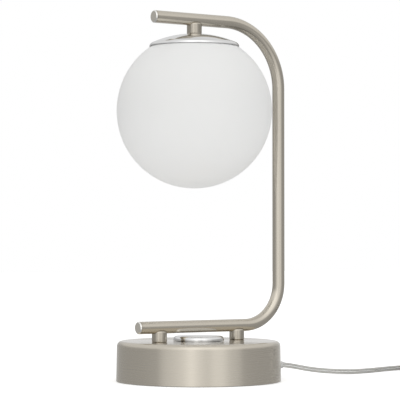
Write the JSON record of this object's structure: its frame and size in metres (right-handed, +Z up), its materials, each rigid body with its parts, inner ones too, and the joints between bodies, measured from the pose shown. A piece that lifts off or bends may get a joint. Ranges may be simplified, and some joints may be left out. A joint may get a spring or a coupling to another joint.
{
  "type": "table lamp",
  "caption": "Table lamp with a bent tube arm on a round drum base, an opal glass globe hung from the arm, and a dimmer dial on the base.",
  "frame": {"origin": "middle of the base's resting face, on the table", "axes": "+Z up; the arm lies in the XZ plane with its upright at +X and its free ends to -X"},
  "size_m": [0.423, 0.1893, 0.3553],
  "materials": {
    "base_nickel": "satin brushed round the drum",
    "arm_nickel": "satin brushed along the tube",
    "cap_chrome": "mirror",
    "dial_chrome": "mirror",
    "opal_glass": "satin opal",
    "cast_iron": "rough, black varnish",
    "zinc_steel": "zinc plated",
    "spring_steel": "polished strip",
    "foot_foam": "fine foam",
    "silicone": "matte, translucent",
    "socket_plastic": "moulded, white",
    "contact_brass": "turned",
    "bulb_shell": "moulded, white",
    "bulb_diffuser": "moulded, milky",
    "bulb_metal": "rolled",
    "dimmer_plastic": "moulded, black",
    "circuit_board": "laminate",
    "lead_sheath": "extruded",
    "clear_cord": "clear sheath over two stranded cores",
    "clear_plastic": "moulded, clear",
    "plug_plastic": "moulded, clear",
    "plug_metal": "nickel plated"
  },
  "bodies": {
    "root": {"arm_lead": "lead_sheath", "arm_tube": "arm_nickel", "base_shell": "base_nickel", "base_weight": "cast_iron", "bolt_washer": "zinc_steel", "bottom_plate": "zinc_steel", "bulb_collar": "bulb_shell", "bulb_envelope": "bulb_diffuser", "bulb_screw_cap": "bulb_metal", "bush_nut": "contact_brass", "bush_washer": "zinc_steel", "cap_nut": "zinc_steel", "centre_contact": "contact_brass", "clamp_screw": "zinc_steel", "cord_clamp": "dimmer_plastic", "cord_coil": "clear_cord", "cord_lead": "clear_cord", "cord_relief": "clear_plastic", "dimmer_board": "circuit_board", "dimmer_bush": "contact_brass", "dimmer_cover": "dimmer_plastic", "dimmer_housing": "dimmer_plastic", "end_post": "arm_nickel", "foot_pad": "foot_foam", "globe_cap": "cap_chrome", "globe_gasket": "silicone", "globe_springs": "spring_steel", "lower_end_plug": "arm_nickel", "mains_lead": "lead_sheath", "nipple_nut": "zinc_steel", "nipple_washer": "zinc_steel", "opal_globe": "opal_glass", "plate_screws": "zinc_steel", "plug_body": "plug_plastic", "plug_pins": "plug_metal", "post_bolt": "zinc_steel", "socket_core": "socket_plastic", "socket_dome": "socket_plastic", "socket_shell": "contact_brass", "socket_skirt": "socket_plastic", "spring_plate": "zinc_steel", "spring_rivets": "zinc_steel", "stem": "arm_nickel", "stem_nipple": "zinc_steel", "upper_end_plug": "arm_nickel", "wire_nipple": "zinc_steel", "wire_post": "arm_nickel"},
    "dial": {"dimmer_dial": "dial_chrome", "dial_spindle": "zinc_steel", "dimmer_rotor": "dimmer_plastic"}
  },
  "joints": [
    {"name": "dial_turn", "type": "hinge", "parent": "root", "child": "dial", "pos_m": [0, 0, 0.041], "axis": [0, 0, -1], "range_deg": [0, 270]}
  ]
}
